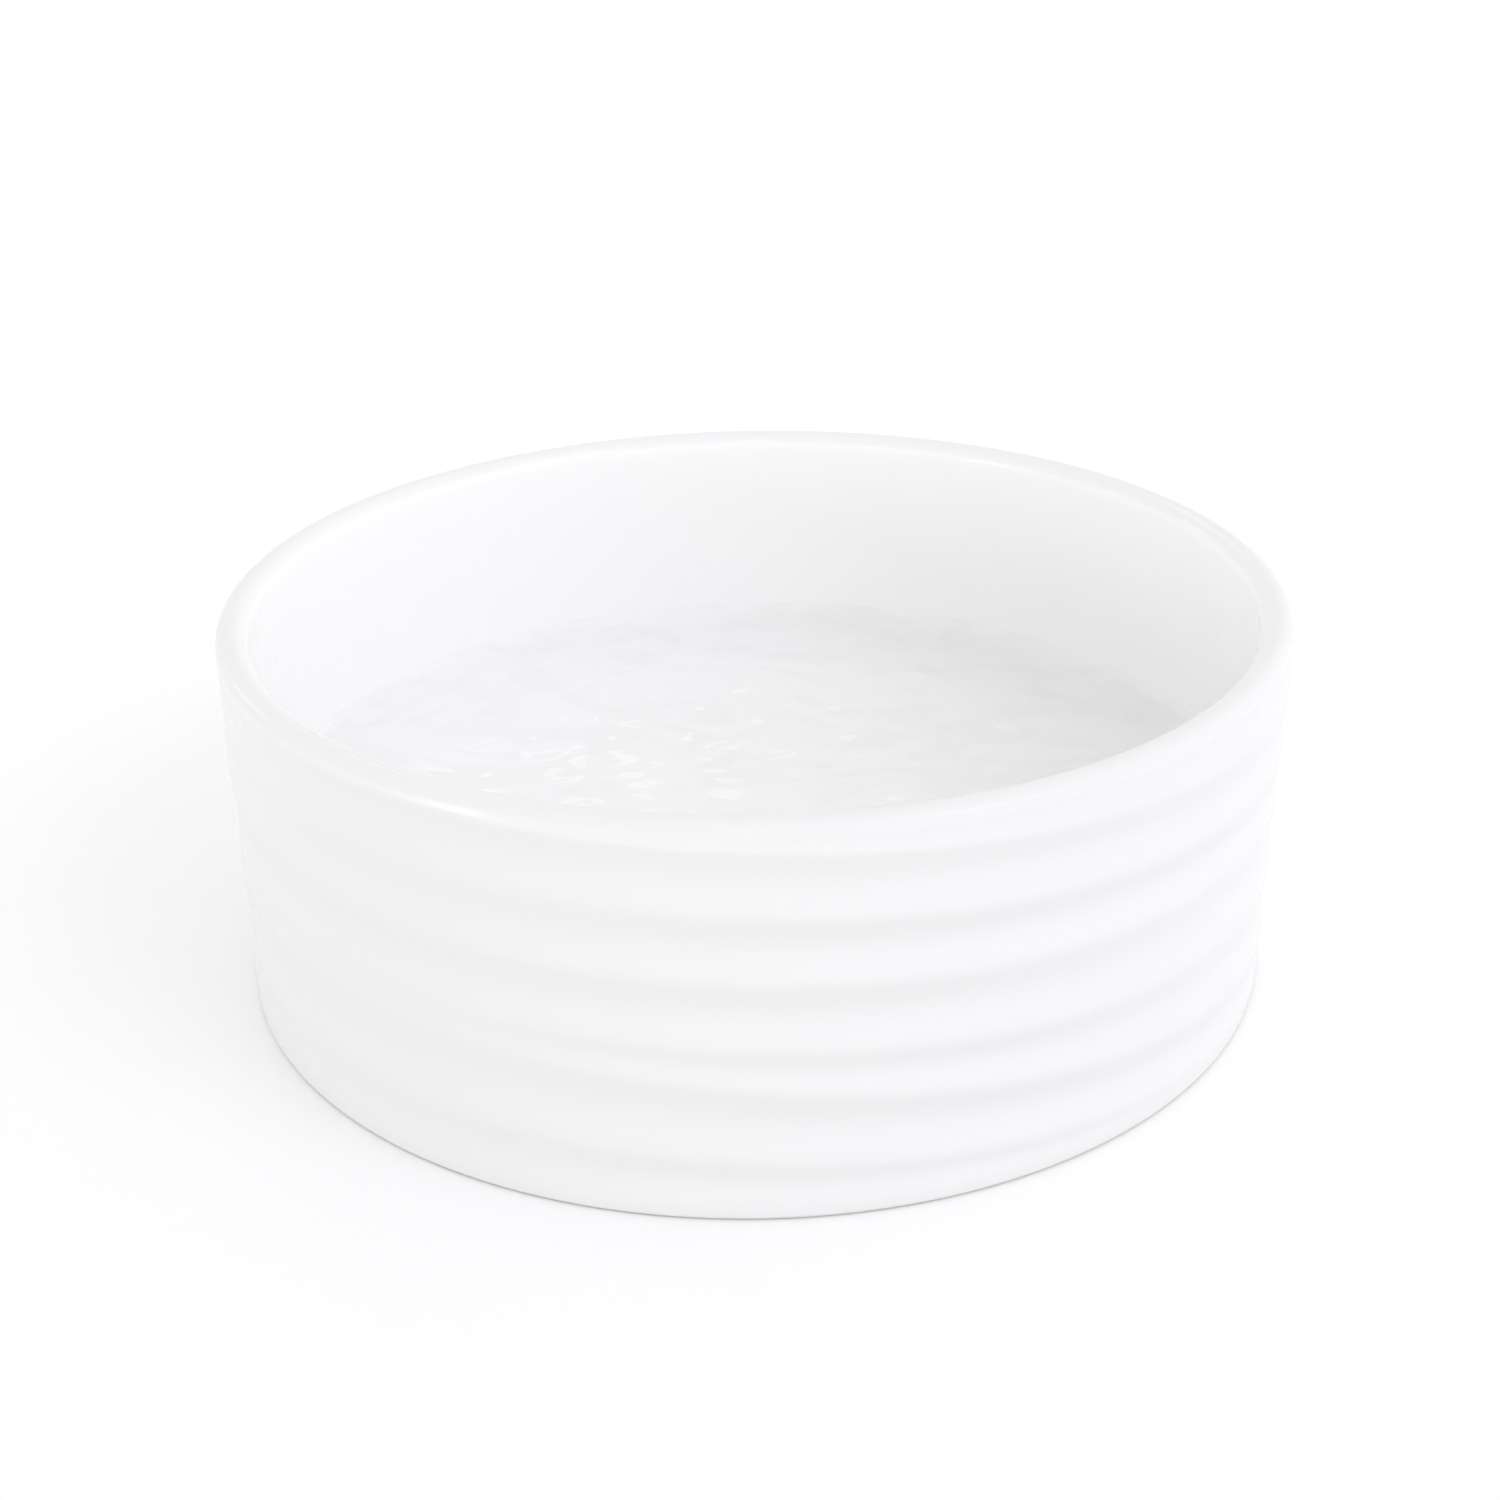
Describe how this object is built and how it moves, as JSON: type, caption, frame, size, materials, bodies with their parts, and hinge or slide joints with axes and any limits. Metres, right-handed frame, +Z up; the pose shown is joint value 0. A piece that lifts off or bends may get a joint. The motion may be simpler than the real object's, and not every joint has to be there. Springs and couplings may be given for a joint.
{
  "type": "ceramic dog bowl",
  "caption": "Round white ceramic pet bowl with a rounded lip, soft throwing rings round its steep wall and a low foot, holding still water.",
  "frame": {"origin": "centre of the foot, on the table's plane", "axes": "+Z up along the bowl's axis, -Y towards the camera of the picture, +X to its right, where the tilted rings are lowest"},
  "size_m": [0.19, 0.19, 0.069],
  "materials": {
    "white_glaze": "white glaze with a soft sheen outside, glossy inside, bare clay under the foot",
    "water": "clear liquid with slight ripples"
  },
  "bodies": {
    "root": {"bowl": "white_glaze", "water": "water"}
  },
  "joints": []
}
